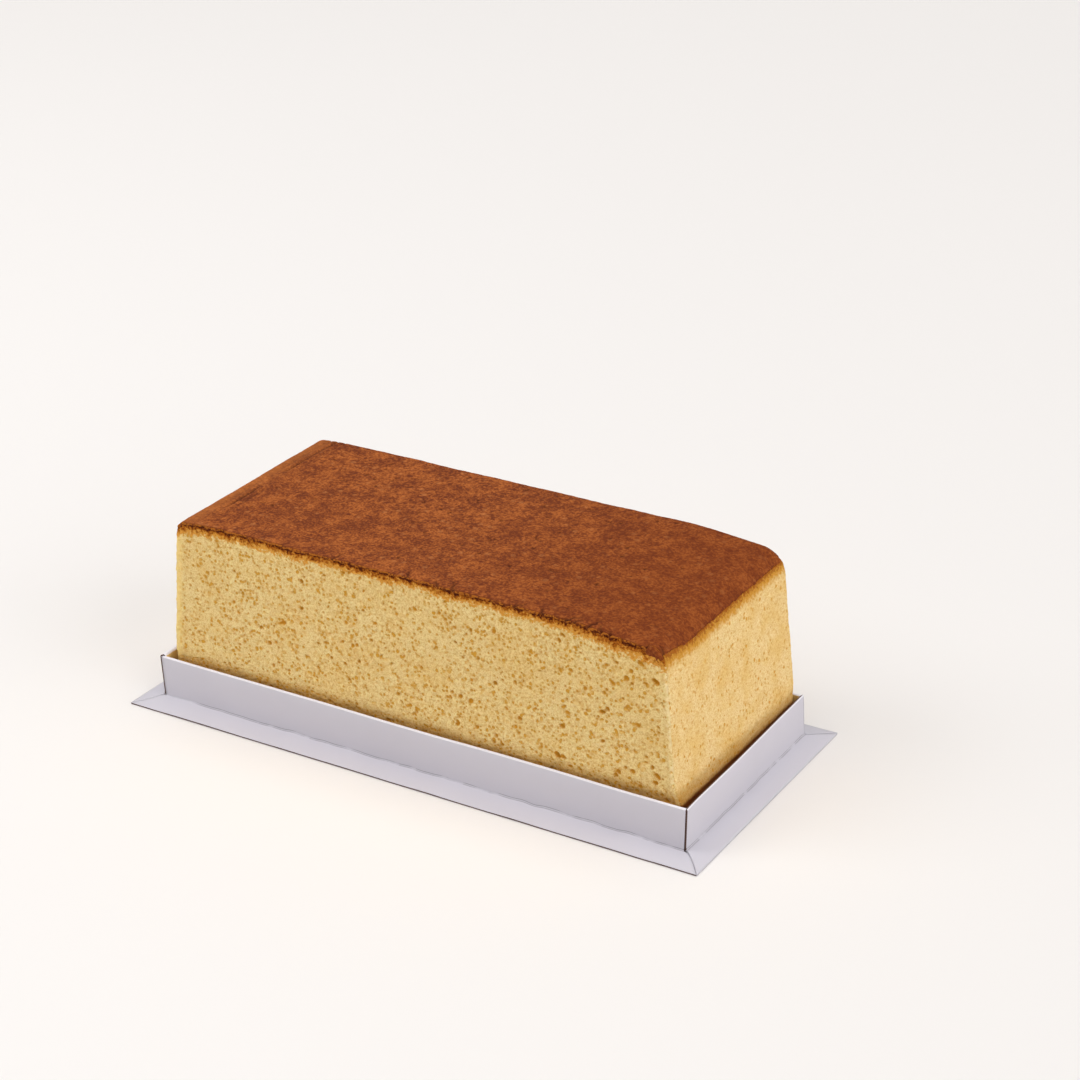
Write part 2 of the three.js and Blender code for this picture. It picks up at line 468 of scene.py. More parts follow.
CRUST_SPACING = 0.5
CRUST_SEED = 41
EDGE_CRACKS = 11
MIDDLE_CRACKS = 12
PITS = 60
CRACK_DEPTH = 0.8
PIT_DEPTH = 0.7

# The folds parallel to the left end, as (distance from it, depth, width).
WRINKLES = ((10.0, 0.8, 0.55), (13.5, 0.3, 0.6), (6.8, 0.25, 0.8))

# The edge sags beside the lump: its middle from the lump's, its half length and width, and its depth.
SAG_PLACE = 11.0
SAG_LENGTH = 13.0
SAG_WIDTH = 4.0
SAG_DEPTH = 0.6

# The rows down the crust's side, how far it hangs below the skin, and the point that closes it below.
RIM_ROWS = 7
RIM_HANG = 0.25
UNDER_DROP = 4.5


def groove(x, y, start, angle, length, width):
    """A short, slightly wavy crack in the plan: 1 in its middle line, fading to its far end."""
    along = (x - start[0]) * math.cos(angle) + (y - start[1]) * math.sin(angle)
    across = (y - start[1]) * math.cos(angle) - (x - start[0]) * math.sin(angle)
    across = across + 0.35 * np.sin(along * 1.7 + start[0])
    reach = np.clip(1.0 - along / length, 0.0, 1.0) * (along > -0.5)
    return np.sqrt(reach) * np.exp(-((across / width) ** 2))


def crust_cracks(x, y, rng):
    """Short cracks that run in from the front edge, a few more in the middle, and round pits."""
    cracks = np.zeros_like(x)
    for _ in range(EDGE_CRACKS):
        start = (rng.uniform(-0.9, 0.85) * CAKE_HALF_LENGTH, -CAKE_HALF_WIDTH)
        angle = math.radians(rng.uniform(25, 150))
        cracks = np.maximum(cracks, groove(x, y, start, angle, rng.uniform(3.0, 8.0), 0.5))
    for _ in range(MIDDLE_CRACKS):
        start = rng.uniform(-0.9, 0.9) * CAKE_HALF_LENGTH, rng.uniform(-0.85, 0.85) * CAKE_HALF_WIDTH
        angle = math.radians(rng.uniform(-40, 40))
        cracks = np.maximum(cracks, 0.7 * groove(x, y, start, angle, rng.uniform(2.0, 5.0), 0.45))
    pits = np.zeros_like(x)
    for _ in range(PITS):
        centre = rng.uniform(-0.93, 0.93) * CAKE_HALF_LENGTH, rng.uniform(-0.92, 0.92) * CAKE_HALF_WIDTH
        size = rng.uniform(0.35, 0.7)
        pits = np.maximum(pits, np.exp(-((x - centre[0]) ** 2 + (y - centre[1]) ** 2) / size ** 2))
    return cracks, pits


def crust_wrinkles(x, y):
    """Folds that run parallel to the left end."""
    from_left = x + CAKE_HALF_LENGTH
    across = stack3(0 * x, y, 0 * x)
    wander = 1.2 * noise(across, 16.0, 34)
    total = np.zeros_like(x)
    for place, depth, width in WRINKLES:
        strength = smoothstep(-0.3, 0.4, noise(stack3(0 * x, y, place + 0 * x), 17.0, 35))
        total += depth * strength * np.exp(-(((from_left - place - wander) / width) ** 2))
    return total


def crust_skin(material):
    """The browned top: a closed skin with its relief, lapping a little over the crumb."""
    columns = int(round(2 * CAKE_HALF_LENGTH / CRUST_SPACING)) + 1
    rows = int(round(2 * CAKE_HALF_WIDTH / CRUST_SPACING)) + 1
    flat_x, flat_y = np.meshgrid(np.linspace(-1, 1, columns), np.linspace(-1, 1, rows))
    x, y = round_plan(flat_x * CAKE_HALF_LENGTH, flat_y * CAKE_HALF_WIDTH)
    top = top_height(x, y)
    px, py = spread(x, y, top, top)
    from_front = y + CAKE_HALF_WIDTH
    points = stack3(px, py, top)
    cracks, pits = crust_cracks(x, y, np.random.default_rng(CRUST_SEED))
    wrinkles = crust_wrinkles(x, y)

    # The lump has a crack round its inner side, and stands a little above the sagging edge.
    lump_x = CAKE_HALF_LENGTH - LUMP_FROM_RIGHT
    from_lump = np.hypot(x - lump_x, from_front)
    lump = LUMP_RISE * np.clip(1.0 - (from_lump / LUMP_SIZE) ** 4, 0.0, 1.0)
    lump_crack = np.exp(-(((from_lump - LUMP_SIZE) / LUMP_CRACK_WIDTH) ** 2))
    from_sag = np.hypot((x - lump_x + SAG_PLACE) / SAG_LENGTH, from_front / SAG_WIDTH)
    sag = SAG_DEPTH * np.exp(-from_sag ** 2)

    lift = layered(points, CRUST_GRAIN) + lump - sag - CRACK_DEPTH * lump_crack - wrinkles
    points[..., 2] += lift - CRACK_DEPTH * cracks - PIT_DEPTH * pits

    # The rim's loop, anticlockwise seen from above, and the rows of its side down to its lower edge.
    index = np.arange(rows * columns).reshape(rows, columns)
    loop = np.concatenate([index[0, :-1], index[:-1, -1], index[-1, :0:-1], index[:0:-1, 0]])
    flat_points = points.reshape(-1, 3)
    normal_x, normal_y = [normal.ravel()[loop] for normal in plan_normal(x, y)]
    rim = flat_points[loop]
    outward = side_wave(rim) + SKIN_OVERLAP + layered(rim, RIM_WOBBLE)
    at_front = y.ravel()[loop] < -CAKE_HALF_WIDTH + 1.0
    lump_rim = np.clip(1.0 - (np.abs(x.ravel()[loop] - lump_x) / LUMP_SIZE) ** 3, 0.0, 1.0) * at_front
    hang = SKIN + RIM_HANG + 0.5 * noise(rim, 1.6, 38) + LUMP_HANG * lump_rim ** 0.5
    side_rows = []
    for t in np.linspace(0, 1, RIM_ROWS):
        bulge = (0.1 + LUMP_BULGE * lump_rim) * math.sin(math.pi * min(t + 0.15, 1.0))
        row = rim.copy()
        push = outward + bulge + 0.25 * lump_rim * noise(rim - [0, 0, 6 * t], 1.3, 39)
        row[:, 0] += normal_x * push
        row[:, 1] += normal_y * push
        row[:, 2] -= hang * t
        side_rows.append(row)
    flat_points[loop] = side_rows[0]
    centre = np.array([[0.0, 0.0, CAKE_TOP - UNDER_DROP]])
    vertices = np.concatenate([flat_points] + side_rows[1:] + [centre])

    count = len(loop)
    first = rows * columns
    ring = np.arange(count)
    following = (ring + 1) % count
    upper, side = loop, []
    for step in range(len(side_rows) - 1):
        lower = first + step * count + ring
        side.append(np.stack([lower, lower[following], upper[following], upper], axis=1))
        upper = lower
    under = np.stack([upper[following], upper, np.full(count, len(vertices) - 1)], axis=1)
    relief = np.concatenate([grid_faces(columns, rows)] + side)
    smooth = np.concatenate([np.ones(len(relief), bool), np.zeros(len(under), bool)])

    def extended(values, rim_values):
        return np.concatenate([values.ravel(), np.tile(rim_values, len(side_rows) - 1), [0.0]])

    # Painted shade in the pits, cracks and folds and in the crack round the lump.
    dark = np.clip(pits + 0.9 * cracks + 0.9 * wrinkles + 0.8 * lump_crack, 0, 1)
    attributes = {
        "dark": extended(dark, np.zeros(count)),
        "edge": extended(from_front, np.where(at_front & (lump_rim < 0.1), 0.0, 2.0)),
        "from_left": extended(x + CAKE_HALF_LENGTH, x.ravel()[loop] + CAKE_HALF_LENGTH),
    }
    return make_object("crust", vertices, [relief, under], [material], smooth, attributes)


# ---------------- tray

# The order of the tray's materials.
WHITE, GOLD, CORE_AND_SHADE = 0, 1, 2

# How many points of the wall's section lie on the inner wall, over the fold, and from the foot's bend
# to the brim's edge, and how many faces over the right wall's fold carry a painted shade line in the core's
# colour.
INNER_POINTS = 3
FOLD_POINTS = 9
SLOPE_POINTS = 12
BRIM_POINTS = SLOPE_POINTS + 2
FOLD_SHADE_FACES = 5

# The card's unevenness: the size and height of its slow wave, ripple and kinks along the crease, the
# bow of its brim, and the length at each end over which wave and bow die out.
WAVE_SIZE = 48.0
WAVE = 0.35
RIPPLE_SIZE = 13.0
WALL_RIPPLE = 0.06
BRIM_RIPPLE = 0.1
KINK_SIZE = 5.0
KINK = 0.35
BRIM_BOW = 0.35
STIFF_END = 20.0

# Grid steps along a side, and how far the inner walls of the short sides tuck behind the long ones.
LONG_STATIONS = 161
SHORT_STATIONS = 81
TUCK = CARD + 0.2


def arc(centre, radius, start, end, steps):
    """Points of an arc in the wall's section, angles in degrees from outwards, turning upwards."""
    angles = np.radians(np.linspace(start, end, steps))
    return [(centre[0] + radius * math.cos(a), centre[1] + radius * math.sin(a)) for a in angles]


def wall_section(fold, brim):
    """Middle line of the card through one wall: inner wall, fold, outer wall, crease and brim.

    Each point is (distance outwards from the wall's outer face, height), with how much of the
    crease's painted shade it carries.
    """
    half = CARD / 2
    turn = (fold - CARD) / 2
    middle = -fold / 2
    foot = CREASE_HEIGHT + 0.3
    inner = [(middle - turn, z) for z in (half, 6.0, 12.0)]
    over = arc((middle, WALL_TOP - half - turn), turn, 180, 0, FOLD_POINTS)
    outer = [(-half, z) for z in (15.0, 12.0, 9.0, 6.0, 4.2, foot + 1.5, foot + 1.15)]
    crease = [(-half + 0.2, foot + 0.95), (-half + 0.02, foot + 0.7), (-half + 0.2, foot + 0.45)]
    foot_bend = [(0.0, foot + 0.2), (0.2, foot - 0.05)]
    start = np.array([0.7, CREASE_HEIGHT + half - 0.12])
    end = np.array([brim, half])
    slope = [tuple(start + (end - start) * t) for t in np.linspace(0, 1, SLOPE_POINTS)]
    section = np.array(inner + over + outer + crease + foot_bend + slope)

    # The painted shade is darkest in the crease, and a fainter line of it starts the slope.
    line = np.zeros(len(section))
    first_crease = len(inner) + len(over) + len(outer)
    line[first_crease + 1] = 1.0
    line[first_crease + 4] = 0.7
    return section, line


def section_normals(points):
    """Unit normals of the section, to the side that shows outside the tray."""
    tangent = np.gradient(points, axis=0)
    tangent /= np.linalg.norm(tangent, axis=1)[:, None]
    return np.stack([tangent[:, 1], -tangent[:, 0]], axis=1)


def wall_strip(section, starts, ends, stations, shape):
    """Vertices and faces of one folded strip of card, closed all round.

    Columns of the vertices: along, outwards, height. shape(along, outwards, height) bends them.
    """
    normals = section_normals(section)
    ring = np.concatenate([section - normals * CARD / 2, (section + normals * CARD / 2)[::-1]])
    starts, ends = [np.concatenate([values, values[::-1]]) for values in (starts, ends)]
    t = np.linspace(0, 1, stations)[:, None]
    along = starts + (ends - starts) * t
    outwards = np.broadcast_to(ring[:, 0], along.shape)
    height = np.broadcast_to(ring[:, 1], along.shape)
    vertices = np.stack(shape(along, outwards, height), axis=-1).reshape(-1, 3)
    around = len(ring)
    station, place = np.meshgrid(np.arange(stations - 1), np.arange(around), indexing="ij")
    next_place = (place + 1) % around
    quads = np.stack([
        station * around + place, station * around + next_place,
        (station + 1) * around + next_place, (station + 1) * around + place,
    ], axis=-1).reshape(-1, 4)
    k = np.arange(len(section) - 1)
    cap = np.stack([k, around - 1 - k, around - 2 - k, k + 1], axis=1)
    far = (stations - 1) * around + cap[:, ::-1]
    return vertices, quads, np.concatenate([cap, far]), place.ravel()


# Each side of the tray: outward direction, width of its fold, how far its top leans out at its start
# and end, its extra height, and for its start and end the curve of its mitre, the gap left there,
# the lean of the wall that it meets and how far its wall stops short of the corner.
TRAY_SIDES = {
    "front": {"out": (0, -1), "fold": FOLD_SIDE, "lean": (0.15, 0.15), "rise": 0.0, "seed": 51,
              "ends": ((1.0, 0.0, 1.1, 0.75), (0.8, 0.12, 0.4, 0.85))},
    "right": {"out": (1, 0), "fold": FOLD_RIGHT, "lean": (0.4, -1.0), "rise": 0.0, "seed": 52,
              "ends": ((1 / 0.8, 0.12, 0.15, 0.0), (1.0, 0.15, 0.1, 0.0))},
    "back": {"out": (0, 1), "fold": FOLD_SIDE, "lean": (0.1, 0.1), "rise": 0.0, "seed": 53,
             "ends": ((1.0, 0.15, -1.0, CARD), (1.0, 0.15, 1.1, CARD))},
    "left": {"out": (-1, 0), "fold": FOLD_LEFT, "lean": (1.1, 1.1), "rise": 0.7, "seed": 54,
             "ends": ((1.0, 0.15, 0.1, 0.0), (1.0, 0.0, 0.15, 0.0))},
}


def tray_side(side):
    """One folded side of the tray: its vertices, faces, materials, smoothness and the painted shade of its
    crease.
    """
    spec = TRAY_SIDES[side]
    out_x, out_y = spec["out"]
    long_side = out_y != 0
    fold = spec["fold"]
    brim = BRIM_SIDE if long_side else BRIM_END
    other_brim = BRIM_END if long_side else BRIM_SIDE
    wall_half = WALL_HALF_LENGTH if long_side else WALL_HALF_WIDTH
    face = WALL_HALF_WIDTH if long_side else WALL_HALF_LENGTH
    section, line = wall_section(fold, brim)
    tucked = 0.0 if long_side else np.where(section[:, 0] < 0.1 - fold / 2, TUCK, 0.0)
    blend = smoothstep(0.0, 0.8, section[:, 0])
    reach = []
    for power, gap, _, short in spec["ends"]:
        mitre = wall_half + other_brim * np.clip(section[:, 0] / brim, 0, 1) ** power - gap
        reach.append((wall_half - short - tucked) * (1 - blend) + mitre * blend)

    def shape(along, outwards, height):
        up = np.clip((height - CREASE_HEIGHT) / (WALL_TOP - CREASE_HEIGHT), 0, 1)
        on_brim = np.clip(outwards / brim, 0, 1)
        place = stack3(along, 0 * along, 0 * along)
        wave = noise(place, WAVE_SIZE, spec["seed"])
        ripple = noise(place, RIPPLE_SIZE, spec["seed"] + 10)
        middle = 1 - smoothstep(STIFF_END, 0, np.max(np.abs(along)) - np.abs(along))
        lean = np.interp(along, (-wall_half, wall_half), spec["lean"])
        outwards = outwards + up * (lean + WAVE * wave * middle + WALL_RIPPLE * ripple)
        bow = BRIM_BOW * np.sin(on_brim * math.pi) * (0.5 + 0.5 * wave) * middle
        brim_ripple = BRIM_RIPPLE * ripple * middle * np.clip(on_brim * 4, 0, 1)
        near_crease = np.exp(-(((height - CREASE_HEIGHT - 1.0) / 1.2) ** 2))
        kink = KINK * noise(place, KINK_SIZE, spec["seed"] + 20) * near_crease
        height = height + bow + brim_ripple + spec["rise"] * up + kink
        if long_side:
            neighbour_lean = np.where(along < 0, spec["ends"][0][2], spec["ends"][1][2])
            along = along * (1 + up * neighbour_lean / wall_half)
        return along, outwards, height

    stations = LONG_STATIONS if long_side else SHORT_STATIONS
    vertices, quads, caps, place = wall_strip(section, -reach[0], reach[1], stations, shape)
    along, outwards, height = vertices.T
    plan = np.outer(along, (-out_y, out_x)) + np.outer(face + outwards, (out_x, out_y))
    count = len(section)
    edge = (place == count - 1) | (place == 2 * count - 1)
    edge_material = WHITE if side == "right" else CORE_AND_SHADE
    materials = np.where(edge, edge_material, np.where(place <= INNER_POINTS, GOLD, WHITE))
    # Painted shade: a dark line in the core's colour over the right wall's fold, beside the shaded gap.
    if side == "right":
        fold_shade = (place >= INNER_POINTS) & (place < INNER_POINTS + FOLD_SHADE_FACES)
        materials = np.where(fold_shade, CORE_AND_SHADE, materials)
    cap_material = np.where(np.arange(count - 1) < count - BRIM_POINTS, CORE_AND_SHADE, WHITE)
    materials = np.concatenate([materials, cap_material, cap_material])
    smooth = np.concatenate([~edge, np.zeros(len(caps), bool)])
    crease_shading = np.tile(np.concatenate([line, line[::-1]]), stations)

    # The painted shade of the front's crease starts a little way in from the left end.
    if side == "front":
        crease_shading = crease_shading * smoothstep(-wall_half + 14.0, -wall_half + 20.0, along)
    faces = np.concatenate([quads, caps])
    return np.column_stack([plan, height]), faces, materials, smooth, crease_shading


def tray_floor():
    """The flat floor between the inner walls, its top face first."""
    left = FOLD_LEFT + FLOOR_GAP - WALL_HALF_LENGTH
    right = WALL_HALF_LENGTH - FOLD_RIGHT - FLOOR_GAP
    y = WALL_HALF_WIDTH - FOLD_SIDE - FLOOR_GAP
    corners = [(left, -y), (right, -y), (right, y), (left, y)]
    vertices = np.array([(cx, cy, z) for z in (0.0, CARD) for cx, cy in corners])
    faces = np.array([[4, 5, 6, 7], [3, 2, 1, 0], [0, 1, 5, 4], [1, 2, 6, 5], [2, 3, 7, 6], [3, 0, 4, 7]])
    materials = np.array([GOLD, WHITE, CORE_AND_SHADE, CORE_AND_SHADE, CORE_AND_SHADE, CORE_AND_SHADE])
    return vertices, faces, materials, np.zeros(6, bool), np.zeros(8)


def tray_card(card, gold, core):
    """The whole tray: four folded sides and the floor, with gold inside, bare cut edges, and painted shade
    over the right wall's fold and in the creases.
    """
    parts = [tray_side(side) for side in TRAY_SIDES] + [tray_floor()]
    firsts = np.cumsum([0] + [len(part[0]) for part in parts[:-1]])
    faces = np.concatenate([part[1] + first for part, first in zip(parts, firsts)])
    vertices, materials, smooth, crease_shading = [
        np.concatenate([part[column] for part in parts]) for column in (0, 2, 3, 4)
    ]
    attributes = {"crease": crease_shading}
    return make_object("tray_card", vertices, [faces], [card, gold, core], smooth, attributes, materials)


# ---------------- materials

def srgb(red, green, blue):
    """Linear colour with alpha from display values of 0 to 255."""
    linear = [((c / 255 + 0.055) / 1.055) ** 2.4 if c > 10 else c / 255 / 12.92 for c in (red, green, blue)]
    return (*linear, 1.0)


CUT_WALL = srgb(246, 220, 156)
CUT_HOLLOW_SHADE = srgb(205, 150, 56)
CUT_PORE_SHADE = srgb(206, 144, 44)
PEELED_WALL = srgb(250, 222, 162)
PEELED_HOLLOW_SHADE = srgb(214, 154, 60)
PEELED_PORE_SHADE = srgb(214, 150, 56)
GOLDEN_PATCH = srgb(236, 190, 104)
SHADED_BROWN_FOOT = srgb(176, 118, 34)
LEFT_EDGE = srgb(255, 222, 142)
RIGHT_EDGE_HIGHLIGHT = srgb(255, 228, 172)
CUT_BAND = (srgb(222, 156, 64), srgb(168, 92, 18), srgb(84, 32, 6))
PEELED_STREAK = srgb(222, 170, 84)
PEELED_GAP_SHADE_LINE = srgb(112, 44, 12)
PEELED_BAND = (srgb(208, 148, 56), srgb(164, 92, 26))
CRUST_TONES = (srgb(111, 53, 28), srgb(147, 77, 35), srgb(181, 102, 48))
CRUST_BLOTCH = srgb(112, 53, 34)
CRUST_DARK_SPOT = srgb(98, 44, 24)
CRUST_PALE_SPOT = srgb(206, 132, 76)
CRUST_SHOULDER = srgb(190, 114, 56)
CRUST_FAR_SHADE = srgb(114, 47, 8)
CRUST_EDGE = srgb(88, 34, 5)
CRUST_SIDE_FLECK = srgb(176, 102, 32)
CRUST_RECESS_SHADE = srgb(48, 20, 10)
CARD_TONES = (srgb(202, 198, 206), srgb(209, 205, 213))
CARD_RIM_HIGHLIGHT = srgb(246, 243, 249)
CARD_CREASE_SHADE = srgb(122, 114, 120)
GOLD_TONES = (srgb(236, 202, 130), srgb(250, 220, 150))
CORE_AND_SHADE_TONES = (srgb(84, 60, 52), srgb(108, 84, 74))
FLOOR_TONES = (srgb(238, 234, 231), srgb(240, 236, 233))


class Nodes:
    """Short ways to add and join the nodes of one material."""

    def __init__(self, name, roughness, specular):
        self.material = bpy.data.materials.new(name)
        self.material.use_nodes = True
        self.tree = self.material.node_tree
        self.shader = self.tree.nodes["Principled BSDF"]
        self.shader.inputs["Roughness"].default_value = roughness
        self.shader.inputs["Specular IOR Level"].default_value = specular
        self.place = self.add("ShaderNodeTexCoord").outputs["Object"]

    def add(self, kind, **settings):
        node = self.tree.nodes.new(kind)
        for key, value in settings.items():
            setattr(node, key, value)
        return node

    def link(self, source, target):
        """Joins an output or a constant to an input."""
        if isinstance(source, (int, float, tuple)):
            target.default_value = source
        else:
            self.tree.links.new(source, target)

    def noise(self, size, detail, roughness=0.5, place=None):
        """Noise from 0 to 1 with lumps of about size millimetres."""
        node = self.add("ShaderNodeTexNoise")
        self.link(place or self.place, node.inputs["Vector"])
        node.inputs["Scale"].default_value = 1 / (size * MM)
        node.inputs["Detail"].default_value = detail
        node.inputs["Roughness"].default_value = roughness
        return node.outputs["Fac"]

    def spots(self, size, reach, place=None):
        """Soft round spots of random reach, 1 in their middles and about size millimetres apart."""
        node = self.add("ShaderNodeTexVoronoi")
        self.link(place or self.place, node.inputs["Vector"])
        node.inputs["Scale"].default_value = 1 / (size * MM)
        radius = self.math("MULTIPLY", node.outputs["Color"], reach)
        return self.ramp(self.math("SUBTRACT", node.outputs["Distance"], radius), 0.08, -0.14)

    def stretched(self, x, y, z):
        """Coordinates divided by the given lengths in metres, for streaks and long blotches."""
        node = self.add("ShaderNodeVectorMath", operation="DIVIDE")
        self.link(self.place, node.inputs[0])
        node.inputs[1].default_value = (x, y, z)
        return node.outputs["Vector"]

    def wobbled(self, size, amount):
        """Coordinates pushed about by noise, amount in millimetres."""
        node = self.add("ShaderNodeTexNoise")
        self.link(self.place, node.inputs["Vector"])
        node.inputs["Scale"].default_value = 1 / (size * MM)
        shift = self.add("ShaderNodeVectorMath", operation="MULTIPLY_ADD")
        self.link(node.outputs["Color"], shift.inputs[0])
        shift.inputs[1].default_value = (amount * MM,) * 3
        self.link(self.place, shift.inputs[2])
        return shift.outputs["Vector"]

    def attribute(self, name):
        """A number that the mesh holds for each vertex."""
        return self.add("ShaderNodeAttribute", attribute_name=name).outputs["Fac"]

    def height(self):
        """Height above the table in millimetres."""
        split = self.add("ShaderNodeSeparateXYZ")
        self.link(self.place, split.inputs[0])
        return self.math("MULTIPLY", split.outputs["Z"], 1 / MM)

    def math(self, operation, a, b):
        node = self.add("ShaderNodeMath", operation=operation)
        self.link(a, node.inputs[0])
        self.link(b, node.inputs[1])
        return node.outputs[0]

    def ramp(self, value, low, high, to_low=0.0, to_high=1.0):
        """A soft step of the value, from to_low at low to to_high at high."""
        node = self.add("ShaderNodeMapRange", interpolation_type="SMOOTHSTEP")
        self.link(value, node.inputs["Value"])
        node.inputs["From Min"].default_value = low
        node.inputs["From Max"].default_value = high
        node.inputs["To Min"].default_value = to_low
        node.inputs["To Max"].default_value = to_high
        return node.outputs["Result"]

    def wander(self, size, detail, roughness, amount):
        """Noise about zero, half of amount either way."""
        centred = self.math("SUBTRACT", self.noise(size, detail, roughness), 0.5)
        return self.math("MULTIPLY", centred, amount)

    def mix(self, factor, a, b):
        node = self.add("ShaderNodeMix", data_type="RGBA")
        self.link(factor, node.inputs["Factor"])
        self.link(a, node.inputs["A"])
        self.link(b, node.inputs["B"])
        return node.outputs["Result"]

    def tint(self, colour, tone, mask, strength):
        """Lays a tone over a colour, at most at the given strength, where the mask is 1."""
        return self.mix(self.math("MULTIPLY", mask, strength), colour, tone)

    def bump(self, height, distance, strength):
        node = self.add("ShaderNodeBump")
        self.link(height, node.inputs["Height"])
        node.inputs["Distance"].default_value = distance * MM
        node.inputs["Strength"].default_value = strength
        return node.outputs["Normal"]

    def finish(self, colour, normal=None):
        self.link(colour, self.shader.inputs["Base Color"])
        if normal is not None:
            self.link(normal, self.shader.inputs["Normal"])
        return self.material


def crumb_colour(n, wall, hollow_shade, pore, spots, patches):
    """Pale cell walls with soft ochre hollows and the larger pores of the mesh, both darkened as painted
    shade of the pores. Also its bump.

    spots is the size and reach of the hollows, patches how golden the broad patches are.
    """
    wobble = n.wobbled(1.0, 0.6)
    patch = n.ramp(n.noise(14.0, 3.0, 0.6), 0.4, 0.66)
    colour = n.tint(wall, GOLDEN_PATCH, patch, patches)
    strength = n.ramp(n.noise(2.6, 2.0), 0.3, 0.62, 0.3, 1.0)
    dots = n.math("MULTIPLY", n.spots(*spots, wobble), strength)
    grain = n.math("MULTIPLY", n.ramp(n.noise(0.6, 3.0, 0.6), 0.4, 0.7), 0.65)
    # The hollows are painted shade of the small pores.
    hollows = n.math("MAXIMUM", dots, grain)
    colour = n.mix(hollows, colour, hollow_shade)
    # Painted shade in the mesh's larger pores.
    colour = n.mix(n.attribute("pore"), colour, pore)
    normal = n.bump(n.math("MULTIPLY", hollows, -1.0), 0.4, 0.7)
    return colour, normal


def shade_foot(n, colour, reach, strength):
    """Painted shade on the crumb just above the tray, where the crumb also grows browner and moister."""
    height = n.height()
    ragged = n.math("MULTIPLY", n.noise(2.6, 3.0, 0.6), 4.0)
    # How strong the painted shade is, rising towards the wall's top.
    foot = n.ramp(n.math("SUBTRACT", height, ragged), WALL_TOP + reach, WALL_TOP - 1.5)
    return n.tint(colour, SHADED_BROWN_FOOT, foot, strength)


def crumb_nodes(name):
    """The matt, slightly translucent base of the crumb's materials."""
    n = Nodes(name, 0.9, 0.1)
    n.shader.inputs["Subsurface Weight"].default_value = 0.1
    n.shader.inputs["Subsurface Radius"].default_value = (0.004, 0.002, 0.0008)
    n.shader.inputs["Subsurface Scale"].default_value = 0.5
    return n


def cut_crumb():
    """The cut face: open pores under a dark brown band that is golden and ragged below, with painted shade
    in the pores and just above the tray and a painted highlight down its right end.
    """
    n = crumb_nodes("crumb_cut")
    colour, normal = crumb_colour(n, CUT_WALL, CUT_HOLLOW_SHADE, CUT_PORE_SHADE, (1.5, 0.7), 0.25)
    left = n.ramp(n.attribute("from_start"), 5.0, 1.0)
    colour = n.tint(colour, LEFT_EDGE, left, 0.85)
    # A painted highlight on the soft ridge down the right end.
    broken = n.ramp(n.noise(1.8, 2.0), 0.36, 0.6)
    right = n.math("MULTIPLY", n.ramp(n.attribute("from_end"), 2.6, 0.4), broken)
    colour = n.tint(colour, RIGHT_EDGE_HIGHLIGHT, right, 0.85)
    # Painted shade just above the tray.
    colour = shade_foot(n, colour, 3.2, 0.55)
    ragged = n.math("ADD", n.wander(2.4, 3.0, 0.6, 1.2), n.wander(1.0, 2.0, 0.6, 1.5))
    depth = n.math("ADD", n.attribute("band"), ragged)
    for tone, (start, end) in zip(CUT_BAND, ((1.2, 0.98), (0.88, 0.5), (0.5, 0.22))):
        colour = n.mix(n.ramp(depth, start, end), colour, tone)
    return n.finish(colour, normal)


def peeled_crumb():
    """A baked side whose paper has been peeled off: smoother, paler, browning softly to the top, with
    painted shade in its pores, just above the tray and in a dark line down in the gap below the wall's top.
    """
    n = crumb_nodes("crumb_side")
    colour, normal = crumb_colour(n, PEELED_WALL, PEELED_HOLLOW_SHADE, PEELED_PORE_SHADE, (1.9, 0.54), 0.5)
    streaks = n.ramp(n.noise(1.0, 3.0, 0.5, n.stretched(0.0014, 0.0014, 0.009)), 0.45, 0.75)
    colour = n.tint(colour, PEELED_STREAK, streaks, 0.25)
    # Painted shade just above the tray.
    colour = shade_foot(n, colour, 4.0, 0.6)
    # A dark red-brown line of painted shade down in the gap below the wall's top, also standing for the
    # crumb's moist foot.
    line = n.ramp(n.height(), WALL_TOP - 0.8, WALL_TOP - 2.2)
    colour = n.tint(colour, PEELED_GAP_SHADE_LINE, line, 0.8)
    depth = n.math("ADD", n.attribute("band"), n.wander(1.2, 4.0, 0.75, 2.0))
    for tone, (start, end) in zip(PEELED_BAND, ((1.15, 0.6), (0.6, 0.1))):
        colour = n.mix(n.ramp(depth, start, end), colour, tone)
    return n.finish(colour, normal)


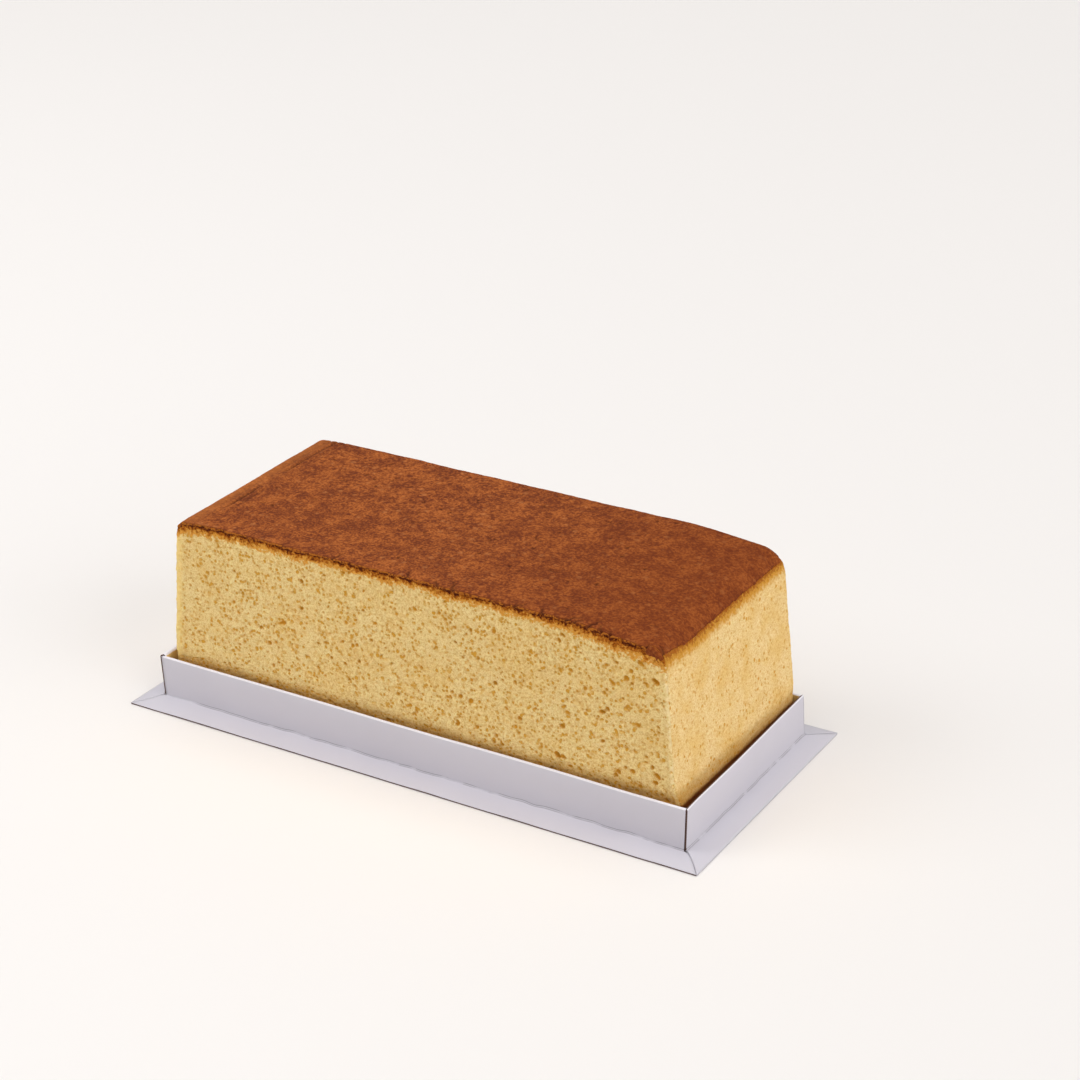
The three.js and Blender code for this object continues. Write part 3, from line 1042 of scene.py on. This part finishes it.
def crust_material():
    """Matt browned crust: purple-brown and orange-brown mottling and fine grain, with painted shade in its
    pits, cracks and folds and towards its right end.
    """
    n = Nodes("crust", 0.82, 0.1)
    broad = n.ramp(n.noise(9.0, 4.0, 0.65), 0.36, 0.64)
    middling = n.ramp(n.noise(2.8, 3.0, 0.6), 0.34, 0.66)
    fine = n.ramp(n.noise(0.95, 2.0, 0.6), 0.34, 0.66)
    mottle = n.math("ADD", n.math("MULTIPLY", broad, 0.28), n.math("MULTIPLY", middling, 0.24))
    mottle = n.math("ADD", mottle, n.math("MULTIPLY", fine, 0.48))
    colour = n.mix(n.ramp(mottle, 0.2, 0.52), CRUST_TONES[0], CRUST_TONES[1])
    colour = n.mix(n.ramp(mottle, 0.52, 0.86), colour, CRUST_TONES[2])
    blotch = n.ramp(n.noise(1.0, 3.0, 0.6, n.stretched(0.007, 0.011, 0.01)), 0.5, 0.66)
    colour = n.tint(colour, CRUST_BLOTCH, blotch, 0.4)
    colour = n.tint(colour, CRUST_DARK_SPOT, n.spots(2.6, 0.42), 0.55)
    colour = n.tint(colour, CRUST_PALE_SPOT, n.spots(4.3, 0.34), 0.3)
    from_left = n.attribute("from_left")
    shoulder = n.math("ADD", from_left, n.math("MULTIPLY", n.noise(4.0, 3.0), 6.0))
    colour = n.tint(colour, CRUST_SHOULDER, n.ramp(shoulder, 17.0, 4.0), 0.5)
    # Painted shade towards the right end, away from the front left lamp.
    far = n.ramp(from_left, 90.0, 2 * CAKE_HALF_LENGTH)
    colour = n.tint(colour, CRUST_FAR_SHADE, far, 0.45)
    edge = n.math("ADD", n.attribute("edge"), n.math("MULTIPLY", n.noise(1.6, 2.0), 1.2))
    colour = n.tint(colour, CRUST_EDGE, n.ramp(edge, 1.3, 0.6), 0.6)
    side = n.ramp(n.attribute("edge"), 0.2, 0.0)
    fleck = n.math("MULTIPLY", side, n.ramp(n.noise(0.9, 2.0), 0.4, 0.56))
    colour = n.mix(fleck, colour, CRUST_SIDE_FLECK)
    # Painted shade in the pits, cracks and folds.
    colour = n.mix(n.attribute("dark"), colour, CRUST_RECESS_SHADE)
    normal = n.bump(n.noise(0.9, 4.0, 0.65), 0.35, 0.8)
    return n.finish(colour, normal)


def card_material():
    """White coated card with a faint sheen and slight handling marks, a painted highlight along the top of
    its walls and painted shade in its creases.
    """
    n = Nodes("card_white", 0.5, 0.25)
    colour = n.mix(n.noise(40.0, 3.0), *CARD_TONES)
    # A painted highlight along the top of the walls, where the fold faces up.
    rim = n.ramp(n.height(), WALL_TOP - 0.7, WALL_TOP - 0.2)
    colour = n.tint(colour, CARD_RIM_HIGHLIGHT, rim, 0.8)
    # Painted shade along the creases.
    broken = n.ramp(n.noise(7.0, 3.0), 0.32, 0.5)
    line = n.math("MULTIPLY", n.attribute("crease"), broken)
    colour = n.tint(colour, CARD_CREASE_SHADE, line, 0.9)
    normal = n.bump(n.noise(1.4, 3.0), 0.03, 0.25)
    return n.finish(colour, normal)


def gold_material():
    """Gold laminate on the inside of the tray."""
    n = Nodes("card_gold", 0.4, 0.5)
    colour = n.mix(n.noise(6.0, 3.0), *GOLD_TONES)
    return n.finish(colour, n.bump(n.noise(2.0, 2.0), 0.05, 0.3))


def core_and_shade_material():
    """Grey-brown core of the card, seen at its cut edges, and laid over the right wall's fold as a line of
    painted shade.
    """
    n = Nodes("card_core_and_shade", 0.8, 0.2)
    return n.finish(n.mix(n.noise(0.8, 2.0), *CORE_AND_SHADE_TONES))


def floor_material():
    n = Nodes("floor", 0.9, 0.05)
    return n.finish(n.mix(n.noise(900.0, 1.0), *FLOOR_TONES))


# ---------------- scene

# The scene: lengths in metres, directions as azimuth and elevation in degrees, the roll in radians.
# Azimuth 0 is the side of the cut front, and 90 that of the right end.
FLOOR_HALF_SIZE = 6.0
FLOOR_HEIGHT = -0.0002
CAMERA_TARGET = Vector((0.0283, 0.0, 0.0846))
CAMERA_DIRECTION = (30.8, 24.6)
CAMERA_DISTANCE = 0.9434
CAMERA_ROLL = 0.005
CAMERA_LENS = 83.15
CAMERA_SENSOR = 36.0
CAMERA_REACH = 50.0
WORLD_STRENGTH = 0.32
LIGHT_DISTANCE = 2.0
SUN_ANGLE = math.radians(60)
LIGHTS = (
    ("top_light", "SUN", (0, 86), 1.6, {"angle": SUN_ANGLE}),
    ("right_light", "SUN", (82, 18), 1.36, {"angle": SUN_ANGLE}),
    ("front_left_softbox", "AREA", (-50, 42), 9.6, {"shape": "DISK", "size": 1.2}),
)


def add_floor():
    """A wide plain floor, which isn't part of the cake."""
    mesh = bpy.data.meshes.new("floor")
    signs = ((-1, -1), (1, -1), (1, 1), (-1, 1))
    corners = [(x * FLOOR_HALF_SIZE, y * FLOOR_HALF_SIZE, 0) for x, y in signs]
    mesh.from_pydata(corners, [], [(0, 1, 2, 3)])
    mesh.materials.append(floor_material())
    floor = bpy.data.objects.new("floor", mesh)
    floor.location.z = FLOOR_HEIGHT
    bpy.context.scene.collection.objects.link(floor)


def direction(azimuth, elevation):
    """Unit vector towards a place seen at an azimuth and elevation in degrees."""
    a, e = math.radians(azimuth), math.radians(elevation)
    return Vector((math.sin(a) * math.cos(e), -math.cos(a) * math.cos(e), math.sin(e)))


def add_camera():
    """The main view, from the front right and above."""
    back = direction(*CAMERA_DIRECTION)
    right = Vector((0, 0, 1)).cross(back).normalized()
    up = back.cross(right)
    axis_x = right * math.cos(CAMERA_ROLL) - up * math.sin(CAMERA_ROLL)
    axis_y = right * math.sin(CAMERA_ROLL) + up * math.cos(CAMERA_ROLL)
    data = bpy.data.cameras.new("camera")
    data.lens = CAMERA_LENS
    data.sensor_width = CAMERA_SENSOR
    data.clip_end = CAMERA_REACH
    camera = bpy.data.objects.new("camera", data)
    place = CAMERA_TARGET + back * CAMERA_DISTANCE
    turn = Matrix((axis_x, axis_y, back)).transposed()
    camera.matrix_world = Matrix.Translation(place) @ turn.to_4x4()
    bpy.context.scene.collection.objects.link(camera)
    bpy.context.scene.camera = camera


def add_light(name, kind, from_where, power, settings):
    """A lamp that shines at the cake from a direction. Its distance matters only to the area lamp."""
    data = bpy.data.lights.new(name, kind)
    data.energy = power
    for key, value in settings.items():
        setattr(data, key, value)
    light = bpy.data.objects.new(name, data)
    towards = direction(*from_where)
    light.location = towards * LIGHT_DISTANCE
    light.rotation_euler = towards.to_track_quat("Z", "Y").to_euler()
    bpy.context.scene.collection.objects.link(light)


def add_lights():
    world = bpy.data.worlds.new("studio")
    world.use_nodes = True
    background = world.node_tree.nodes["Background"]
    background.inputs["Color"].default_value = (1.0, 1.0, 1.0, 1.0)
    background.inputs["Strength"].default_value = WORLD_STRENGTH
    bpy.context.scene.world = world
    for light in LIGHTS:
        add_light(*light)
    bpy.context.scene.view_settings.view_transform = "Standard"
    bpy.context.scene.view_settings.look = "None"


add_camera()
add_lights()
add_floor()

cut = cut_crumb()
peeled = peeled_crumb()
blocks = [side_block(side, cut if side == "front" else peeled) for side in SIDES]
crust = crust_skin(crust_material())
for piece in blocks + [crust]:
    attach(piece, "root")
    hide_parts("cake")

tray = tray_card(card_material(), gold_material(), core_and_shade_material())
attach(tray, "root")
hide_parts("tray")
